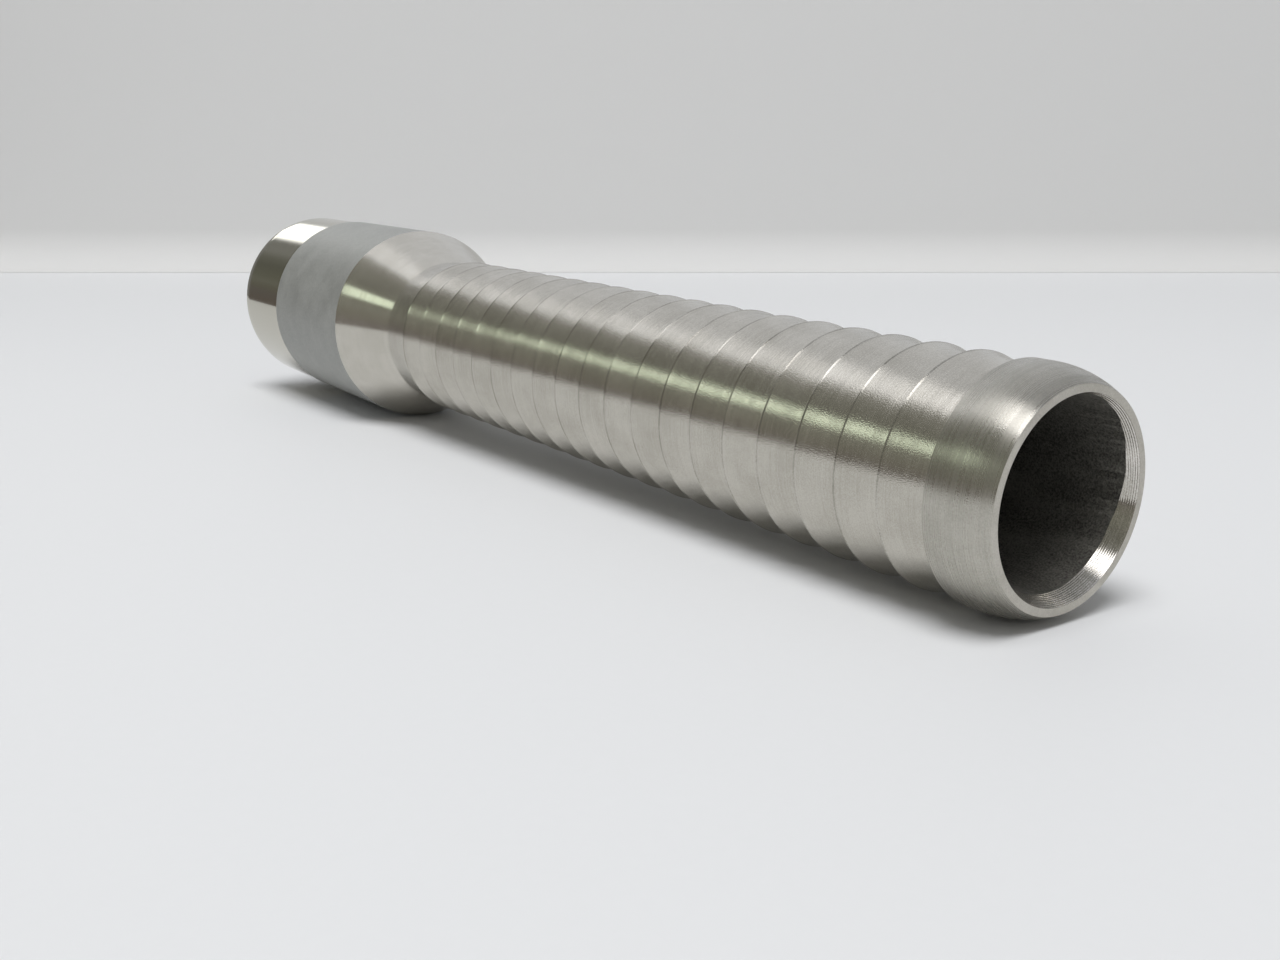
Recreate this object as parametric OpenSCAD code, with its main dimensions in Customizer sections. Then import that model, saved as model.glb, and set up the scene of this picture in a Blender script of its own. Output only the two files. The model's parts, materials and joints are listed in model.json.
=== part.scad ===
// Long serrated hose stem with a plain pipe end, for nominal 1 inch hose and DN 25 pipe.
// The stem lies along +X: x = 0 is the cut face of the pipe end and the hose goes on from the far end.

/* [Pipe end] */
// Outside diameter of the pipe, left as it came from the mill
pipe_d = 33.4; // [30:0.1:42]
// Wall of the pipe
pipe_wall = 3.4; // [2.6:0.1:4.5]
// Length of the mill-finished collar between the polished end and the shoulder
collar_len = 30; // [10:0.5:60]
// Length of the polished end
polished_len = 19; // [8:0.5:40]
// How much the polishing takes off the pipe, on the diameter
polished_cut = 0.4; // [0.1:0.1:1]
// Chamfer around the outside of the cut face
end_chamfer = 0.8; // [0.3:0.1:1.5]

/* [Hose shank] */
// Diameter over the crests of the serrations
crest_d = 25.4; // [21:0.1:31]
// Height of one serration
barb_height = 1.4; // [0.4:0.1:2]
// Distance from one crest to the next
barb_pitch = 6; // [4:0.1:9]
// Number of serrations between the nose and the neck
barb_count = 19; // [4:1:26]
// Flat land along the top of each crest
crest_land = 0.1; // [0.1:0.1:1]
// Run of the steep face behind each crest
step_run = 0.3; // [0.1:0.05:0.6]
// Plain neck between the last serration and the shoulder
neck_len = 7.2; // [3:0.1:20]
// How much lower the neck is than the crests, on the radius
neck_drop = 0.7; // [0.3:0.1:2]
// Length of the turned shoulder that widens to the pipe
shoulder_len = 12; // [6:0.5:25]

/* [Nose] */
// Length of the nose, from the first crest to the end face
nose_len = 7.05; // [6:0.05:15]
// Length of the rounded part of the nose
nose_round = 5.3; // [2:0.1:5.8]
// Width of the flat ring left on the end face
face_width = 0.85; // [0.3:0.05:1]

/* [Bore] */
// Wall of the shank, from its bore to the crests
shank_wall = 2.8; // [2.2:0.1:4]
// Radial width of the chamfer at the mouth of the bore
mouth_width = 0.55; // [0.2:0.05:0.6]
// Depth of that chamfer
mouth_depth = 1; // [0.5:0.1:2]

/* [Hidden] */
$fn = 96;

// Steps of the arc that rounds the nose
nose_steps = 6;

// Radii of the shank, the pipe and their bores
crest_r = crest_d / 2;
root_r = crest_r - barb_height;
neck_r = crest_r - neck_drop;
pipe_r = pipe_d / 2;
polished_r = pipe_r - polished_cut / 2;
pipe_bore_r = pipe_r - pipe_wall;
bore_r = crest_r - shank_wall;
mouth_r = bore_r + mouth_width;
nose_drop = crest_r - face_width - mouth_r;

// Places along the axis, from the cut face to the nose
collar_x = polished_len;
shoulder_x = collar_x + collar_len;
neck_x = shoulder_x + shoulder_len;
last_crest_x = neck_x + neck_len;
first_crest_x = last_crest_x + barb_count * barb_pitch;
tip_x = first_crest_x + nose_len;

// Arc of the nose: it leaves the crest cylinder as a tangent and comes in by nose_drop at the end face
arc_r = (nose_round * nose_round + nose_drop * nose_drop) / (2 * nose_drop);
arc_sweep = asin(nose_round / arc_r);
arc_x = tip_x - nose_round;

// One serration, outlined from its crest towards the nose: land, long ramp, steep face of the next crest
function barb_outline(x) = [
    [x, crest_r],
    [x + crest_land, crest_r],
    [x + barb_pitch - step_run, root_r]
];

// All the serrations, from the neck to the nose
function serrations() = [
    for (i = [0 : barb_count - 1])
        each barb_outline(last_crest_x + i * barb_pitch)
];

// Rounded nose, from the first crest to the end face
function nose_outline() = [
    [first_crest_x, crest_r],
    for (i = [0 : nose_steps])
        let (a = arc_sweep * i / nose_steps)
            [arc_x + arc_r * sin(a), crest_r - arc_r * (1 - cos(a))]
];

// Turns an outline of [x, radius] points about the X axis
module turned(outline) {
    rotate([0, 90, 0])
        rotate_extrude()
            polygon([for (p = outline) [p[1], p[0]]]);
}

// Turned and serrated shank with its shoulder, open along its bore
module hose_shank() {
    color([0.70, 0.69, 0.67])
        turned(concat(
            [
                [shoulder_x, pipe_bore_r],
                [shoulder_x, pipe_r],
                [neck_x, neck_r],
                [last_crest_x - step_run, neck_r]
            ],
            serrations(),
            nose_outline(),
            [
                [tip_x, mouth_r],
                [tip_x - mouth_depth, bore_r],
                [neck_x, bore_r]
            ]
        ));
}

// Length of pipe that keeps its mill finish
module pipe_collar() {
    color([0.56, 0.56, 0.54])
        turned([
            [collar_x, pipe_bore_r],
            [collar_x, pipe_r],
            [shoulder_x, pipe_r],
            [shoulder_x, pipe_bore_r]
        ]);
}

// Polished end of the pipe, with a chamfered rim
module polished_end() {
    color([0.82, 0.81, 0.78])
        turned([
            [0, pipe_bore_r],
            [0, polished_r - end_chamfer],
            [end_chamfer, polished_r],
            [collar_x, polished_r],
            [collar_x, pipe_bore_r]
        ]);
}

hose_shank();
pipe_collar();
polished_end();
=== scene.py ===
import json
import math
import random

import bpy
from mathutils import Matrix, Vector


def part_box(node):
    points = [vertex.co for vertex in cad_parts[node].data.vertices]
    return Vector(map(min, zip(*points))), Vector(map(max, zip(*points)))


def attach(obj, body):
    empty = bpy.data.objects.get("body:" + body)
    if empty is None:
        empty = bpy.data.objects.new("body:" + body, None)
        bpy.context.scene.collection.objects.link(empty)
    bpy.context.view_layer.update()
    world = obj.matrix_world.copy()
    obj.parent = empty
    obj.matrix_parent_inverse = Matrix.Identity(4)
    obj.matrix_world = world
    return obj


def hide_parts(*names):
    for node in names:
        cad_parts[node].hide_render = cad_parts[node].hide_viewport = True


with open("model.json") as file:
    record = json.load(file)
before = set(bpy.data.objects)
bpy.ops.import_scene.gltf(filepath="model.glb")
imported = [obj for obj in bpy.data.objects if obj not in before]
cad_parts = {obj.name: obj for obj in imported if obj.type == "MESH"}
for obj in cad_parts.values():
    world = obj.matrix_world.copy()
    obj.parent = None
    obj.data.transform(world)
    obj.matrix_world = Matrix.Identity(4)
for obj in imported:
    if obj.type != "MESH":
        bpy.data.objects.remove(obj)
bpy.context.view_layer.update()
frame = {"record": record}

mm = 0.001
mounts = {mount["name"]: mount for mount in frame["record"]["mounts"]}

# sizes that come with the frame, in metres
stem = {
    "tip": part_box("hose_shank")[1].x,
    "shoulder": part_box("hose_shank")[0].x,
    "collar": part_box("pipe_collar")[0].x,
    "cutFace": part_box("polished_end")[0].x,
    "pipeRadius": -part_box("pipe_collar")[0].z,
    "polishedRadius": -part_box("polished_end")[0].z,
    "crestRadius": mounts["hose_seat"]["dims"]["r_mm"] * mm,
    "boreRadius": mounts["shank_bore"]["dims"]["r_mm"] * mm,
    "pipeBoreRadius": mounts["pipe_bore"]["dims"]["r_mm"] * mm,
}
stem["lastCrest"] = stem["tip"] - mounts["hose_seat"]["dims"]["length_mm"] * mm
print("frame loaded, stem is %.1f mm long" % (stem["tip"] / mm))


# turning an outline into a mesh

meshing = {
    "arcTurn": 22,              # degrees of a rounded corner that one face takes
    "arcReach": 0.45,           # share of an edge that a rounded corner may take
    "straight": 0.01,           # a corner that turns less than this, in radians, isn't rounded
    "sharpAngle": 32,           # degrees from which an edge stays sharp
    "flatStep": 5 * mm,         # longest step along each kind of outline
    "boreStep": 3 * mm,
    "skinStep": 2 * mm,
    "neckStep": 1.5 * mm,
    "rampStep": 1.4 * mm,
    "barbStep": 1 * mm,
    "cutFaceStep": 0.4 * mm,
    "rimStep": 0.3 * mm,
    "endFaceStep": 0.15 * mm,
}


def cornerArc(before, corner, after, radius):
    # points of the arc that rounds a corner, or the corner itself where it is sharp
    here = Vector(corner)
    inward = Vector(before) - here
    outward = Vector(after) - here
    turn = math.pi - inward.angle(outward)
    if radius <= 0 or turn < meshing["straight"]:
        return [tuple(here)]
    share = meshing["arcReach"]
    reach = min(radius * math.tan(turn / 2), share * inward.length, share * outward.length)
    radius = reach / math.tan(turn / 2)
    start = here + inward.normalized() * reach
    bisector = (inward.normalized() + outward.normalized()).normalized()
    centre = here + bisector * math.hypot(radius, reach)
    steps = max(2, math.ceil(turn / math.radians(meshing["arcTurn"])))
    first = start - centre
    last = here + outward.normalized() * reach - centre
    return [tuple(centre + first.lerp(last, i / steps).normalized() * radius) for i in range(steps + 1)]


def roundedOutline(corners):
    # corners are (x, radius, rounding, zone, longest step); the zone runs on to the next corner
    arcs = []
    for i, corner in enumerate(corners):
        before = corners[i - 1][:2]
        after = corners[(i + 1) % len(corners)][:2]
        arcs.append(cornerArc(before, corner[:2], after, corner[2]))
    outline = []
    for i, arc in enumerate(arcs):
        zone, step = corners[i][3:]
        outline += [(x, r, zone) for x, r in arc]
        start = Vector(arc[-1])
        end = Vector(arcs[(i + 1) % len(arcs)][0])
        pieces = max(1, math.ceil((end - start).length / step))
        outline += [(*start.lerp(end, k / pieces), zone) for k in range(1, pieces)]
    return outline


def turnedPiece(name, outline, finishes, around, shape=None):
    # closed outline of (x, radius, zone) swept once about the X axis
    count = len(outline)
    verts = []
    for j in range(around):
        angle = 2 * math.pi * j / around
        for x, r, zone in outline:
            if shape:
                x, r = shape(x, r, zone, angle)
            verts.append((x, r * math.sin(angle), r * math.cos(angle)))
    faces = []
    for j in range(around):
        here = j * count
        there = (j + 1) % around * count
        for i in range(count):
            after = (i + 1) % count
            faces.append((here + i, here + after, there + after, there + i))
    mesh = bpy.data.meshes.new(name)
    mesh.from_pydata(verts, [], faces)
    zones = list(dict.fromkeys(finishes.values()))
    for finish in zones:
        mesh.materials.append(finish)
    slots = [zones.index(finishes[zone]) for x, r, zone in outline]
    mesh.polygons.foreach_set("material_index", slots * around)
    layUv(mesh, outline, around)
    mesh.shade_smooth()
    mesh.set_sharp_from_angle(angle=math.radians(meshing["sharpAngle"]))
    mesh.validate()
    mesh.update()
    piece = bpy.data.objects.new(name, mesh)
    bpy.context.scene.collection.objects.link(piece)
    return piece


def layUv(mesh, outline, around):
    # the surface rolled out flat: round the stem one way, along the outline the other
    lengths = [0.0]
    for i in range(len(outline)):
        after = outline[(i + 1) % len(outline)]
        lengths.append(lengths[-1] + math.hypot(after[0] - outline[i][0], after[1] - outline[i][1]))
    total = lengths[-1]
    layer = mesh.uv_layers.new(name="OFBake")
    uv = []
    for j in range(around):
        for i in range(len(outline)):
            low, high = lengths[i] / total, lengths[i + 1] / total
            left, right = j / around, (j + 1) / around
            uv += [left, low, left, high, right, high, right, low]
    layer.data.foreach_set("uv", uv)


# node helpers

def addNode(tree, kind, inputs=None, **settings):
    node = tree.nodes.new("ShaderNode" + kind)
    for key, value in settings.items():
        setattr(node, key, value)
    for key, value in (inputs or {}).items():
        if isinstance(value, bpy.types.NodeSocket):
            tree.links.new(value, node.inputs[key])
        else:
            node.inputs[key].default_value = value
    return node


def stretchedNoise(tree, place, scale, detail=3.0, roughness=0.55):
    # scale is how many features there are in a metre along x, y and z
    mapped = addNode(tree, "Mapping", {"Vector": place, "Scale": scale})
    return addNode(tree, "TexNoise", {"Vector": mapped.outputs["Vector"], "Scale": 1.0, "Detail": detail,
                                      "Roughness": roughness}).outputs["Fac"]


def remap(tree, value, low, high, fromLow=0.3, fromHigh=0.7):
    return addNode(tree, "MapRange", {"Value": value, "From Min": fromLow, "From Max": fromHigh,
                                      "To Min": low, "To Max": high}).outputs["Result"]


def combine(tree, operation, a, b):
    node = addNode(tree, "Math", {0: a, 1: b}, operation=operation)
    return node.outputs["Value"]


def weightedSum(tree, *parts):
    # parts are (value, share)
    total = 0.0
    for value, share in parts:
        total = combine(tree, "ADD", total, combine(tree, "MULTIPLY", value, share))
    return total


def blendColour(tree, factor, a, b):
    node = addNode(tree, "Mix", {0: factor, 6: (*a, 1.0), 7: (*b, 1.0)}, data_type="RGBA")
    return node.outputs[2]


def setBump(tree, shader, height, depth):
    bump = addNode(tree, "Bump", {"Height": height, "Strength": 1.0, "Distance": depth})
    tree.links.new(bump.outputs["Normal"], shader.inputs["Normal"])


def newMaterial(name):
    material = bpy.data.materials.new(name)
    material.use_nodes = True
    tree = material.node_tree
    shader = tree.nodes["Principled BSDF"]
    place = addNode(tree, "TexCoord").outputs["Object"]
    return material, tree, shader, place


# finishes

turnedLook = {
    "light": (0.585, 0.560, 0.505),
    "dark": (0.455, 0.434, 0.382),
    "linesPerMetre": 9000,      # lathe lines, across them
    "lineReach": 110,           # and along them
    "cutWidth": 5,              # the cuts are this much wider than the lines
    "cutReach": 2,              # and this much longer
    "grainPerMetre": 6500,
    "cloudsPerMetre": (150, 190, 190),
    "lineShare": 0.30,          # how much each of them shows in the colour
    "grainShare": 0.35,
    "cloudShare": 0.35,
    "toneRange": (0.41, 0.59),  # noise from dark to light
    "wearShare": 0.5,
    "wearRange": (0.38, 0.62),  # and from smooth to rough
    "lineDepth": 0.0014 * mm,
    "grainDepth": 0.013 * mm,
    "smooth": 0.15,
    "rough": 0.25,
    "metal": 0.93,
    "stretch": 0.88,
    "twist": 0.25,              # a quarter turn, so highlights stretch across the lathe lines
}


def turnedSteel(name, **changes):
    look = {**turnedLook, **changes}
    material, tree, shader, place = newMaterial(name)
    across, along = look["linesPerMetre"], look["lineReach"]
    cutAcross, cutAlong = across / look["cutWidth"], along / look["cutReach"]
    lines = stretchedNoise(tree, place, (across, along, along), detail=4.0, roughness=0.65)
    cuts = stretchedNoise(tree, place, (cutAcross, cutAlong, cutAlong))
    grain = stretchedNoise(tree, place, (look["grainPerMetre"],) * 3, detail=2.0)
    clouds = stretchedNoise(tree, place, look["cloudsPerMetre"], detail=3.0, roughness=0.6)
    tone = weightedSum(tree, (lines, look["lineShare"]), (clouds, look["cloudShare"]),
                       (grain, look["grainShare"]))
    colour = blendColour(tree, remap(tree, tone, 0, 1, *look["toneRange"]), look["dark"], look["light"])
    tree.links.new(colour, shader.inputs["Base Color"])
    shader.inputs["Metallic"].default_value = look["metal"]
    shader.inputs["Anisotropic"].default_value = look["stretch"]
    shader.inputs["Anisotropic Rotation"].default_value = look["twist"]
    wear = weightedSum(tree, (cuts, look["wearShare"]), (lines, 1 - look["wearShare"]))
    roughness = remap(tree, wear, look["smooth"], look["rough"], *look["wearRange"])
    tree.links.new(roughness, shader.inputs["Roughness"])
    height = weightedSum(tree, (lines, look["lineDepth"] / mm), (grain, look["grainDepth"] / mm))
    setBump(tree, shader, height, mm)
    tangent = addNode(tree, "Tangent", direction_type="RADIAL", axis="X")
    tree.links.new(tangent.outputs["Tangent"], shader.inputs["Tangent"])
    return material


millLook = {
    "light": (0.405, 0.410, 0.390),
    "dark": (0.300, 0.304, 0.288),
    "pebblesPerMetre": 2600,
    "pebbleDepth": 0.020 * mm,
    "pebbleShare": 0.4,
    "drawnPerMetre": (60, 2200, 2200),      # faint lines from drawing the pipe
    "drawnShare": 0.35,
    "stainsPerMetre": 260,
    "stainShare": 0.6,
    "toneRange": (0.35, 0.65),
    "smooth": 0.44,
    "rough": 0.58,
    "metal": 0.38,
}


def millSteel():
    look = millLook
    material, tree, shader, place = newMaterial("millSteel")
    pebbles = stretchedNoise(tree, place, (look["pebblesPerMetre"],) * 3, detail=3.0)
    drawn = stretchedNoise(tree, place, look["drawnPerMetre"], detail=3.0)
    stains = stretchedNoise(tree, place, (look["stainsPerMetre"],) * 3, detail=4.0, roughness=0.6)
    tone = weightedSum(tree, (pebbles, look["pebbleShare"]), (stains, look["stainShare"]))
    colour = blendColour(tree, remap(tree, tone, 0, 1, *look["toneRange"]), look["dark"], look["light"])
    tree.links.new(colour, shader.inputs["Base Color"])
    shader.inputs["Metallic"].default_value = look["metal"]
    tree.links.new(remap(tree, stains, look["smooth"], look["rough"]), shader.inputs["Roughness"])
    height = weightedSum(tree, (pebbles, 1.0), (drawn, look["drawnShare"]))
    setBump(tree, shader, height, look["pebbleDepth"])
    return material


polishedLook = {
    "light": (0.530, 0.510, 0.435),
    "dark": (0.490, 0.470, 0.395),
    "hairlinesPerMetre": (9000, 60, 60),
    "wavesPerMetre": 240,
    "waveDepth": 0.0025 * mm,
    "smooth": 0.06,
    "rough": 0.13,
}


def polishedSteel():
    look = polishedLook
    material, tree, shader, place = newMaterial("polishedSteel")
    hairlines = stretchedNoise(tree, place, look["hairlinesPerMetre"], detail=3.0)
    waves = stretchedNoise(tree, place, (look["wavesPerMetre"],) * 3, detail=2.0)
    shader.inputs["Metallic"].default_value = 1.0
    tree.links.new(blendColour(tree, hairlines, look["dark"], look["light"]), shader.inputs["Base Color"])
    tree.links.new(remap(tree, hairlines, look["smooth"], look["rough"]), shader.inputs["Roughness"])
    setBump(tree, shader, waves, look["waveDepth"])
    return material


boreLook = {
    "light": (0.290, 0.280, 0.250),
    "dark": (0.080, 0.077, 0.067),
    "grainsPerMetre": 4600,
    "grainDepth": 0.020 * mm,
    "grainShare": 0.65,
    "stainsPerMetre": (70, 240, 240),
    "stainShare": 0.35,
    "toneRange": (0.38, 0.62),
    "smooth": 0.50,
    "rough": 0.70,
    "metal": 0.7,
}


def rawBore():
    look = boreLook
    material, tree, shader, place = newMaterial("rawBore")
    grain = stretchedNoise(tree, place, (look["grainsPerMetre"],) * 3, detail=3.0, roughness=0.6)
    stains = stretchedNoise(tree, place, look["stainsPerMetre"], detail=4.0, roughness=0.6)
    tone = weightedSum(tree, (grain, look["grainShare"]), (stains, look["stainShare"]))
    colour = blendColour(tree, remap(tree, tone, 0, 1, *look["toneRange"]), look["dark"], look["light"])
    tree.links.new(colour, shader.inputs["Base Color"])
    shader.inputs["Metallic"].default_value = look["metal"]
    tree.links.new(remap(tree, grain, look["smooth"], look["rough"]), shader.inputs["Roughness"])
    setBump(tree, shader, grain, look["grainDepth"])
    return material


turned = turnedSteel("turnedSteel")
coneTurned = turnedSteel("coneTurned", lineDepth=0.0005 * mm, grainDepth=0.003 * mm, rough=0.22,
                         light=(0.630, 0.605, 0.550), dark=(0.530, 0.506, 0.450))
# painted shade: the lip's dark colour darkens each crest line, standing in for the shade behind the crest
lipTurnedPaintedShade = turnedSteel("lipTurnedPaintedShade", smooth=0.06, rough=0.17, stretch=0.2, grainDepth=0.010 * mm,
                        light=(0.560, 0.540, 0.490), dark=(0.300, 0.285, 0.245))
noseTurned = turnedSteel("noseTurned", linesPerMetre=11000, lineReach=70, lineDepth=0.0017 * mm, smooth=0.20,
                         rough=0.36, light=(0.510, 0.490, 0.440), dark=(0.385, 0.370, 0.325))
faceTurned = turnedSteel("faceTurned", linesPerMetre=1500, lineReach=1500, smooth=0.30, rough=0.42,
                         stretch=0.3)
mouthTurned = turnedSteel("mouthTurned", smooth=0.08, rough=0.15, light=(0.78, 0.75, 0.71),
                          grainDepth=0.004 * mm)
mill = millSteel()
polished = polishedSteel()
raw = rawBore()
print("finishes made")


# hose shank

shank = {
    "barbHeight": 1.4 * mm,
    "barbPitch": 6.0 * mm,
    "lipWidth": 0.20 * mm,          # the tool raises a fine lip along each crest
    "lipDrop": 0.112 * mm,
    "lipRagged": 0.022 * mm,        # how far it wavers along the stem
    "lipWear": 0.5,                 # and inwards, as a share of that
    "crestRound": 0.03 * mm,
    "rampRound": 0.15 * mm,
    "stepRun": 0.3 * mm,
    "rootRound": 0.12 * mm,
    "neckDrop": 0.7 * mm,
    "neckRound": 1.2 * mm,
    "coneFlat": 0.1 * mm,           # straight stretch before the cone starts
    "coneEdge": 0.5 * mm,
    "noseLength": 7.05 * mm,
    "noseRound": 5.3 * mm,
    "faceWidth": 0.85 * mm,
    "faceEdge": 0.06 * mm,
    "mouthWidth": 0.55 * mm,
    "mouthDepth": 1.0 * mm,
    "boreOffset": 0.40 * mm,        # the raw bore isn't quite on the lathe's axis
    "boreOffsetAngle": -26,
    "around": 192,
}
shank["rootRadius"] = stem["crestRadius"] - shank["barbHeight"]
shank["neckRadius"] = stem["crestRadius"] - shank["neckDrop"]
shank["firstCrest"] = stem["tip"] - shank["noseLength"]
shank["neck"] = stem["tip"] - shank["mouthDepth"] - mounts["shank_bore"]["dims"]["length_mm"] * mm
shank["mouthRadius"] = stem["boreRadius"] + shank["mouthWidth"]
shank["barbs"] = round((shank["firstCrest"] - stem["lastCrest"]) / shank["barbPitch"])

marks = {
    "noseStep": 0.05 * mm,
    "noseDepth": 0.0012 * mm,       # coarse turning on the nose
    "nosePitch": 0.21 * mm,
    "noseWaves": 5,                 # waves of different pitch that make it up
    "pitchSpread": (0.6, 2.4),
    "phaseSpread": (0, 6.28),
    "seed": 11,
    "noseEnd": 0.2 * mm,            # it stops this far from the end face
    "mouthStep": 0.025 * mm,
    "mouthDepth": 0.012 * mm,       # grooves left by the chamfering tool
    "mouthPitch": 0.19 * mm,
    "ragged": 0.04 * mm,            # how ragged the edge of the raw bore is
    "raggedWaves": [(5, 1), (9, 0), (17, 2)],       # how many round the bore, and where each starts
    "lipWaves": (7, 19, 43, 71),    # how many round each crest
    "lipDrift": 700,                # they start elsewhere on the next crest
    "seamHeight": 0.05 * mm,
    "seamAngle": 168,
    "seamWidth": 4,
    "seamRise": 20,                 # full height a twentieth of the way in
    "slack": 0.001 * mm,            # for telling the two ends of the bore apart
}
chance = random.Random(marks["seed"])
noseWaves = [(marks["nosePitch"] * chance.uniform(*marks["pitchSpread"]),
              chance.uniform(*marks["phaseSpread"])) for k in range(marks["noseWaves"])]


def turningMarks(x):
    return sum(math.sin(2 * math.pi * x / pitch + phase) for pitch, phase in noseWaves) / len(noseWaves)


def nosePoints():
    # arc that leaves the crests as a tangent and comes in to the end face
    drop = stem["crestRadius"] - shank["faceWidth"] - shank["mouthRadius"]
    length = shank["noseRound"]
    arcRadius = (length * length + drop * drop) / (2 * drop)
    sweep = math.asin(length / arcRadius)
    steps = math.ceil(arcRadius * sweep / marks["noseStep"])
    start = stem["tip"] - length
    return [(start + arcRadius * math.sin(sweep * k / steps),
             stem["crestRadius"] - arcRadius * (1 - math.cos(sweep * k / steps)),
             0, "nose", meshing["flatStep"])
            for k in range(steps + 1)]


def shankOutline():
    root = shank["rootRadius"]
    crest = stem["crestRadius"]
    corners = [
        (stem["shoulder"], stem["pipeBoreRadius"], 0, "joint", meshing["flatStep"]),
        (stem["shoulder"], stem["pipeRadius"], 0, "cone", meshing["skinStep"]),
        (stem["shoulder"] + shank["coneFlat"], stem["pipeRadius"], shank["coneEdge"], "cone",
         meshing["barbStep"]),
        (shank["neck"], shank["neckRadius"], shank["neckRound"], "barb", meshing["neckStep"]),
        (stem["lastCrest"] - shank["stepRun"], shank["neckRadius"], shank["rootRound"], "barb",
         meshing["barbStep"]),
    ]
    for k in range(shank["barbs"]):
        x = stem["lastCrest"] + k * shank["barbPitch"]
        corners += [
            (x, crest, shank["crestRound"], "lip", meshing["barbStep"]),
            (x + shank["lipWidth"], crest - shank["lipDrop"], shank["rampRound"], "barb",
             meshing["rampStep"]),
            (x + shank["barbPitch"] - shank["stepRun"], root, shank["rootRound"], "barb",
             meshing["barbStep"]),
        ]
    corners.append((shank["firstCrest"], crest, shank["crestRound"], "nose", marks["noseStep"]))
    nose = nosePoints()
    last = nose.pop()
    corners += nose
    corners += [
        (last[0], last[1], shank["faceEdge"], "face", meshing["endFaceStep"]),
        (stem["tip"], shank["mouthRadius"], 0, "mouth", marks["mouthStep"]),
        (stem["tip"] - shank["mouthDepth"], stem["boreRadius"], 0, "bore", meshing["flatStep"]),
        (shank["neck"], stem["boreRadius"], 0, "bore", meshing["boreStep"]),
    ]
    return roundedOutline(corners)


def shankShape(x, r, zone, angle):
    # small departures from the plain outline
    if zone == "lip":
        worn = sum(math.sin(waves * angle + marks["lipDrift"] * x * waves) for waves in marks["lipWaves"])
        worn /= len(marks["lipWaves"])
        return x + shank["lipRagged"] * worn, r - shank["lipWear"] * shank["lipRagged"] * (1 + worn)
    if zone == "nose" and x < stem["tip"] - marks["noseEnd"]:
        return x, r - marks["noseDepth"] * (1 + turningMarks(x))
    if zone not in ("mouth", "bore") or x < shank["neck"] - marks["slack"]:
        return x, r
    offset = shank["boreOffset"] * math.cos(angle - math.radians(shank["boreOffsetAngle"]))
    waves = sum(math.sin(count * angle + start) for count, start in marks["raggedWaves"])
    ragged = marks["ragged"] * waves / len(marks["raggedWaves"])
    slope = shank["mouthWidth"] / shank["mouthDepth"]
    edgeDepth = (shank["mouthWidth"] - offset - ragged) / slope     # where the chamfer meets the bore
    fromTip = stem["tip"] - x
    if zone == "mouth":
        depth = fromTip / shank["mouthDepth"] * edgeDepth
        groove = marks["mouthDepth"] * math.sin(2 * math.pi * depth / marks["mouthPitch"])
        return stem["tip"] - depth, shank["mouthRadius"] - slope * depth + groove
    boreLength = stem["tip"] - shank["neck"]
    along = min(1.0, max(0.0, (fromTip - shank["mouthDepth"]) / (boreLength - shank["mouthDepth"])))
    turn = (math.degrees(angle) - marks["seamAngle"] + 180) % 360 - 180
    seam = marks["seamHeight"] * math.exp(-(turn / marks["seamWidth"]) ** 2)
    inset = (offset + ragged - seam * min(1.0, along * marks["seamRise"])) * (1 - along)
    return stem["tip"] - edgeDepth - along * (boreLength - edgeDepth), stem["boreRadius"] + inset


hoseShank = turnedPiece("hoseShank", shankOutline(), {
    "joint": turned,
    "cone": coneTurned,
    "barb": turned,
    "lip": lipTurnedPaintedShade,
    "nose": noseTurned,
    "face": faceTurned,
    "mouth": mouthTurned,
    "bore": raw,
}, shank["around"], shankShape)
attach(hoseShank, "root")
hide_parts("hose_shank")
print("hose shank turned, %d faces" % len(hoseShank.data.polygons))


# mill-finished collar

collar = {
    "around": 192,
}
pipeCollar = turnedPiece("pipeCollar", roundedOutline([
    (stem["collar"], stem["pipeBoreRadius"], 0, "joint", meshing["flatStep"]),
    (stem["collar"], stem["pipeRadius"], 0, "skin", meshing["skinStep"]),
    (stem["shoulder"], stem["pipeRadius"], 0, "joint", meshing["flatStep"]),
    (stem["shoulder"], stem["pipeBoreRadius"], 0, "bore", meshing["boreStep"]),
]), {"joint": mill, "skin": mill, "bore": raw}, collar["around"])
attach(pipeCollar, "root")
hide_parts("pipe_collar")
print("collar turned")


# polished end

spigot = {
    "chamfer": 0.8 * mm,
    "edge": 0.15 * mm,
    "around": 192,
}
polishedEnd = turnedPiece("polishedEnd", roundedOutline([
    (stem["cutFace"], stem["pipeBoreRadius"], spigot["edge"], "face", meshing["cutFaceStep"]),
    (stem["cutFace"], stem["polishedRadius"] - spigot["chamfer"], spigot["edge"], "skin",
     meshing["rimStep"]),
    (stem["cutFace"] + spigot["chamfer"], stem["polishedRadius"], spigot["edge"] * 2, "skin",
     meshing["skinStep"]),
    (stem["collar"], stem["polishedRadius"], 0, "joint", meshing["flatStep"]),
    (stem["collar"], stem["pipeBoreRadius"], 0, "bore", meshing["boreStep"]),
]), {"face": faceTurned, "skin": polished, "joint": mill, "bore": raw}, spigot["around"])
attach(polishedEnd, "root")
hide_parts("polished_end")
print("polished end turned")


# camera

view = {
    "place": (0.07 + stem["tip"], -0.0989, 0.0312),
    "aim": (0.1405, -0.0154, -0.0067),
    "lens": 35.42,
    "sensor": 36,
    "nearest": 0.005,
    "touch": 1 * mm,        # the nose meets the table this far past its first crest
}
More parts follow.
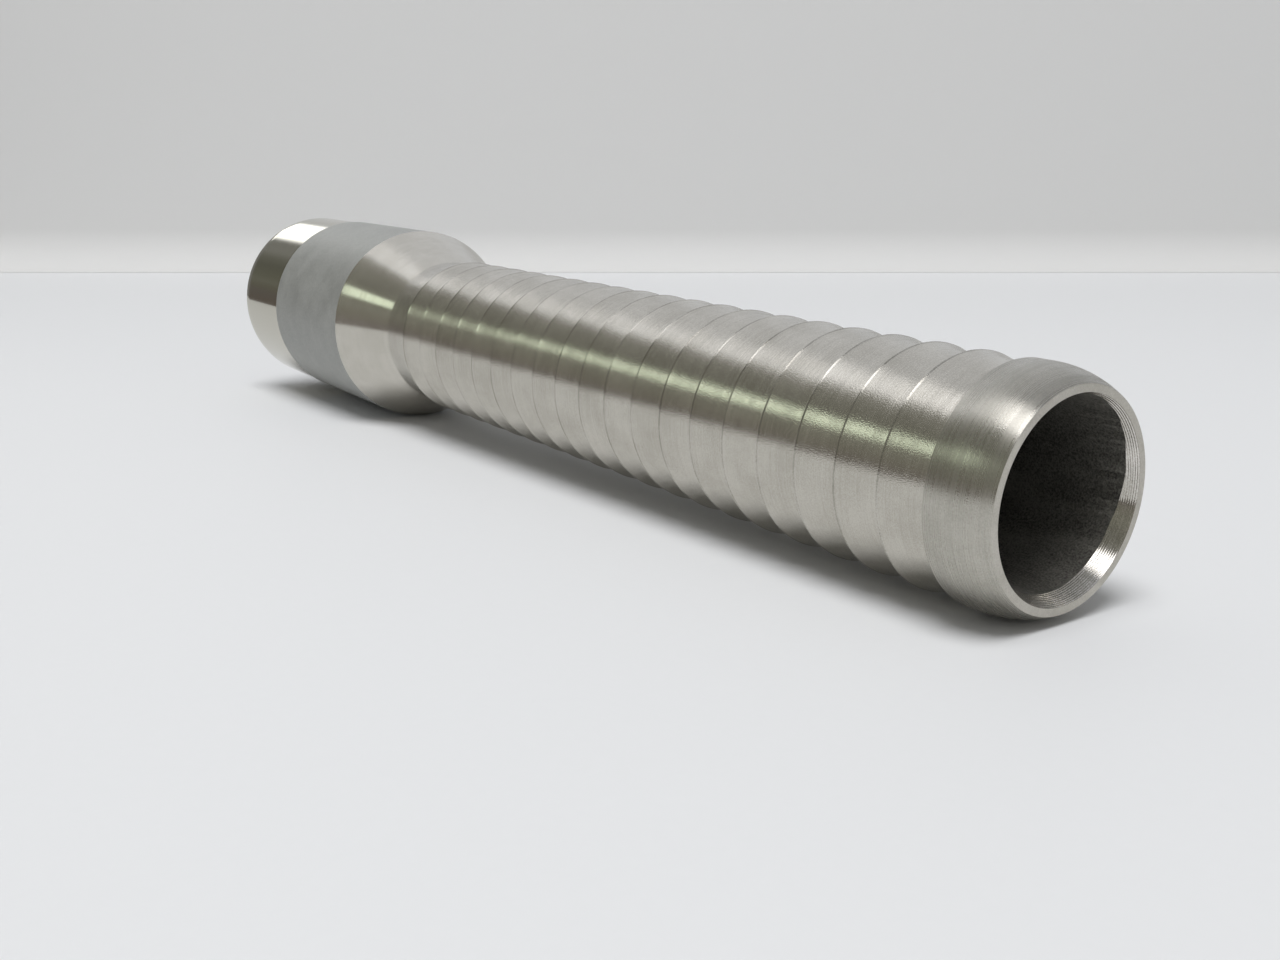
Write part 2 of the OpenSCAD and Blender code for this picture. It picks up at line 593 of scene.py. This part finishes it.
# the stem lies on its collar and on its nose, so the table tilts a little in its frame
rise = (stem["pipeRadius"] - stem["crestRadius"]) / (shank["firstCrest"] + view["touch"] - stem["shoulder"])
tableUp = Vector((-rise, 0, 1)).normalized()
cameraData = bpy.data.cameras.new("camera")
cameraData.lens = view["lens"]
cameraData.sensor_width = view["sensor"]
cameraData.clip_start = view["nearest"]
camera = bpy.data.objects.new("camera", cameraData)
bpy.context.scene.collection.objects.link(camera)
forward = (Vector(view["aim"]) - Vector(view["place"])).normalized()
right = forward.cross(tableUp).normalized()
upward = right.cross(forward)
turnTo = Matrix((right, upward, -forward)).transposed().to_4x4()
camera.matrix_world = Matrix.Translation(Vector(view["place"])) @ turnTo
bpy.context.scene.camera = camera


# table, backdrop and light

def flatSheet(name, corners, material, faces=None):
    mesh = bpy.data.meshes.new(name)
    mesh.from_pydata(corners, [], faces or [tuple(range(len(corners)))])
    mesh.shade_smooth()
    mesh.materials.append(material)
    sheet = bpy.data.objects.new(name, mesh)
    bpy.context.scene.collection.objects.link(sheet)
    return sheet


board = {
    "fibresPerMetre": (900, 900, 900),
    "fibreShade": 0.985,
}


def paleBoard(name, look):
    material, tree, shader, place = newMaterial(name)
    fibres = stretchedNoise(tree, place, board["fibresPerMetre"], detail=3.0)
    shaded = [board["fibreShade"] * c for c in look["colour"]]
    tree.links.new(blendColour(tree, fibres, shaded, look["colour"]), shader.inputs["Base Color"])
    shader.inputs["Roughness"].default_value = look["rough"]
    return material


table = {
    "colour": (0.800, 0.810, 0.820),
    "rough": 0.6,
    "front": -0.80,
    "back": 1.40,
    "left": -2.60,
    "right": 1.20,
    "notch": (-0.28, -0.11),    # the table's near left corner is cut back to here
}
onTable = Vector((stem["shoulder"], 0, -stem["pipeRadius"]))
tableCorners = [onTable + Vector((x - onTable.x, y, rise * (x - onTable.x))) for x, y in [
    (table["left"], table["notch"][1]),
    table["notch"],
    (table["notch"][0], table["front"]),
    (table["right"], table["front"]),
    (table["right"], table["back"]),
    (table["left"], table["back"]),
]]
flatSheet("table", tableCorners, paleBoard("tableBoard", table))

wall = {
    "colour": (0.740, 0.740, 0.732),
    "rough": 0.7,
    "distance": 0.632,      # from the camera, along the table
    "height": 0.15,
    "foot": 0.020,          # radius of the curve at its foot
    "footSteps": 15,
    "lift": 0.0001,
    "left": -0.35,          # how far it goes each way of the camera's line
    "right": 0.75,
}
level = (forward - tableUp * forward.dot(tableUp)).normalized()
cameraHeight = (Vector(view["place"]) - onTable).dot(tableUp)
wallFoot = Vector(view["place"]) - tableUp * cameraHeight + level * wall["distance"]
# its foot curves forward on to the table
turns = [math.radians(90 * k / wall["footSteps"]) for k in range(wall["footSteps"] + 1)]
sweep = [wallFoot - level * wall["foot"] * (1 - math.sin(turn))
         + tableUp * (wall["foot"] * (1 - math.cos(turn)) + wall["lift"]) for turn in turns]
sweep.append(wallFoot + tableUp * wall["height"])
flatSheet("backdrop", [point + right * wall[side] for point in sweep for side in ("left", "right")],
          paleBoard("backdropBoard", wall),
          [(2 * k, 2 * k + 1, 2 * k + 3, 2 * k + 2) for k in range(len(sweep) - 1)])

# a tent of light that shows only in reflections. Angles are in degrees about the stem, 0 straight up and
# negative towards the camera, and x is along the stem in metres
tentLook = {
    "radius": 0.9,
    "angles": (-105, 105),
    "ends": (-3.0, 1.5),
    "turnStep": 0.5,
    "lengthStep": 0.05,
}
# stops of colour by angle
darkSide = [(-105, (0.20, 0.17, 0.15)), (-88, (0.205, 0.187, 0.172)), (-80, (0.215, 0.207, 0.170)),
            (-72, (0.255, 0.255, 0.215)), (-64, (0.22, 0.22, 0.18)), (-48, (0.19, 0.19, 0.16)),
            (-36, (0.24, 0.24, 0.21)), (-24, (0.36, 0.36, 0.34)), (0, (0.33, 0.33, 0.31))]
darkShare = [(-2.4, 0.70), (-1.0, 1.0)]     # and its share by x
# the pale ceiling starts at an edge, and its stops are in degrees above that edge
ceilingEdge = [(-2.4, -4), (-1.8, -12), (-0.9, -24), (-0.6, -25.5), (-0.1, -25.5), (0.1, -30)]
ceiling = [(-5, (0.20, 0.20, 0.19)), (5, (1.02, 1.04, 1.08)), (16, (1.04, 1.06, 1.10)),
           (26, (0.82, 0.84, 0.88)), (140, (0.76, 0.78, 0.82))]
ceilingShare = [(-2.4, 0.80), (-1.0, 0.94), (-0.2, 0.94), (0.2, 0.48)]
lamps = [
    {   # the bright strip along the ramps
        "angles": (-64.6, -56.2),
        "soft": 0.8,
        "reach": (-0.40, 0.02),
        "fade": 0.22,
        "glow": (1.75, 2.0, 1.62),
    },
    {   # the glare on the nose
        "angles": (-28, -4),
        "soft": 4,
        "reach": (0.06, 1.2),
        "fade": 0.24,
        "glow": (3.2, 3.2, 3.3),
    },
    {   # the highlight on the polished end
        "angles": (1, 42),
        "soft": 4,
        "reach": (-9, -2.16),
        "fade": 0.22,
        "glow": (2.6, 2.6, 2.5),
    },
]


def easeStep(value, low, high):
    t = min(1.0, max(0.0, (value - low) / (high - low)))
    return t * t * (3 - 2 * t)


def between(value, low, high, soft):
    return easeStep(value, low - soft, low + soft) * (1 - easeStep(value, high - soft, high + soft))


def readStops(stops, value):
    # a number or a colour, read off a list of stops
    for (a, low), (b, high) in zip(stops, stops[1:]):
        if value <= b:
            break
    t = min(1.0, max(0.0, (value - a) / (b - a)))
    if isinstance(low, tuple):
        return Vector(low).lerp(Vector(high), t)
    return low + (high - low) * t


def tentGlow(angle, x):
    above = angle - readStops(ceilingEdge, x)
    glow = readStops(darkSide, angle) * readStops(darkShare, x)
    pale = readStops(ceiling, above) * readStops(ceilingShare, x)
    glow = glow.lerp(pale, easeStep(above, ceiling[0][0], ceiling[1][0]))
    for lamp in lamps:
        share = between(angle, *lamp["angles"], lamp["soft"]) * between(x, *lamp["reach"], lamp["fade"])
        glow = glow.lerp(Vector(lamp["glow"]), share)
    return glow


def lightTent():
    low, high = tentLook["angles"]
    angles = [low + tentLook["turnStep"] * k for k in range(round((high - low) / tentLook["turnStep"]) + 1)]
    start, end = tentLook["ends"]
    step = tentLook["lengthStep"]
    places = [start + step * k for k in range(round((end - start) / step) + 1)]
    verts = []
    glows = []
    for x in places:
        for angle in angles:
            turn = math.radians(angle)
            verts.append((x, tentLook["radius"] * math.sin(turn), tentLook["radius"] * math.cos(turn)))
            glows += [*tentGlow(angle, x), 1.0]
    wide = len(angles)
    faces = [(i * wide + j, i * wide + j + 1, (i + 1) * wide + j + 1, (i + 1) * wide + j)
             for i in range(len(places) - 1) for j in range(wide - 1)]
    mesh = bpy.data.meshes.new("lightTent")
    mesh.from_pydata(verts, [], faces)
    layer = mesh.color_attributes.new("glow", "FLOAT_COLOR", "POINT")
    layer.data.foreach_set("color", glows)
    material = bpy.data.materials.new("lightTent")
    material.use_nodes = True
    material.cycles.emission_sampling = "NONE"
    tree = material.node_tree
    tree.nodes.clear()
    glow = addNode(tree, "Attribute", attribute_name="glow")
    emission = addNode(tree, "Emission", {"Color": glow.outputs["Color"], "Strength": 1.0})
    output = addNode(tree, "OutputMaterial")
    tree.links.new(emission.outputs[0], output.inputs["Surface"])
    mesh.materials.append(material)
    tent = bpy.data.objects.new("lightTent", mesh)
    bpy.context.scene.collection.objects.link(tent)
    tent.visible_camera = False
    tent.visible_diffuse = False
    tent.visible_transmission = False
    tent.visible_shadow = False


lightTent()
# soft lamp above; the metal mirrors the tent in its place
softbox = {
    "place": (0.45, -0.45, 1.85),
    "aim": (0.10, 0.0, 0.0),
    "size": 1.1,
    "power": 30.5,
    "colour": (0.99, 0.99, 1.0),
}
lampData = bpy.data.lights.new("softbox", "AREA")
lampData.shape = "DISK"
lampData.size = softbox["size"]
lampData.energy = softbox["power"]
lampData.color = softbox["colour"]
lamp = bpy.data.objects.new("softbox", lampData)
lamp.location = softbox["place"]
lamp.rotation_euler = (Vector(softbox["aim"]) - lamp.location).to_track_quat("-Z", "Y").to_euler()
lamp.visible_camera = False
lamp.visible_glossy = False
bpy.context.scene.collection.objects.link(lamp)

studio = {
    "colour": (1.0, 1.0, 0.99),
    "strength": 0.25,
}
world = bpy.data.worlds.new("studio")
world.use_nodes = True
background = world.node_tree.nodes["Background"]
background.inputs["Color"].default_value = (*studio["colour"], 1.0)
background.inputs["Strength"].default_value = studio["strength"]
bpy.context.scene.world = world
bpy.context.scene.view_settings.view_transform = "Standard"
print("table, backdrop and light set")
